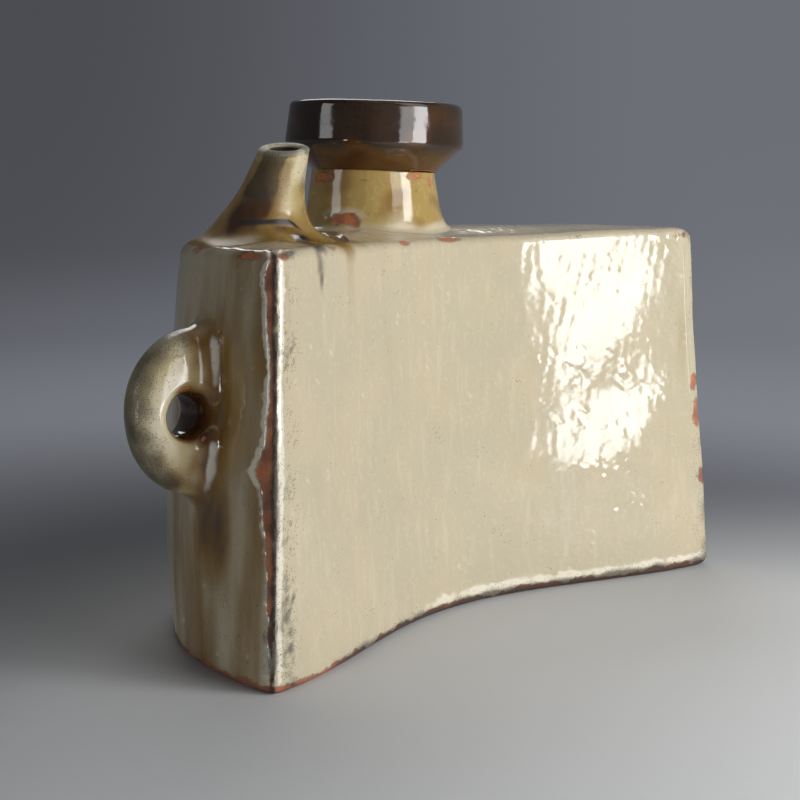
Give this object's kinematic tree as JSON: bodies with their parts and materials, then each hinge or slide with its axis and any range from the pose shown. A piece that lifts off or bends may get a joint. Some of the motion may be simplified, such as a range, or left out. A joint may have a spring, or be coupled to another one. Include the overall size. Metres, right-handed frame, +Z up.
{
  "type": "ceramic hip flask",
  "caption": "Slab-built stoneware hip flask with a half-moon body, hollowed back, dish mouth on a short neck, leaning pouring spout and pierced cord ears.",
  "frame": {"origin": "on the table, under the middle of the flask's box", "axes": "+Z up, +X along the flask from the spout end to the far end, +Y from the hollow back to the bowed front"},
  "size_m": [0.2314, 0.1082, 0.1537],
  "materials": {
    "ash_glaze": "glossy mottled grey-beige ash glaze",
    "amber_glaze": "glossy amber-olive glaze, thin over red clay",
    "iron_glaze": "glossy dark iron-brown glaze",
    "bare_clay": "unglazed fired red clay"
  },
  "bodies": {
    "root": {"base_slab": "ash_glaze", "back_wall": "ash_glaze", "front_wall": "ash_glaze", "shoulder_slab": "ash_glaze", "neck": "amber_glaze", "mouth_cup": "iron_glaze", "spout": "ash_glaze", "spout_end_lug": "amber_glaze", "far_end_lug": "amber_glaze", "base_seam_coil": "bare_clay", "shoulder_seam_coil": "bare_clay", "spout_end_corner_coil": "bare_clay", "far_end_corner_coil": "bare_clay"}
  },
  "joints": []
}
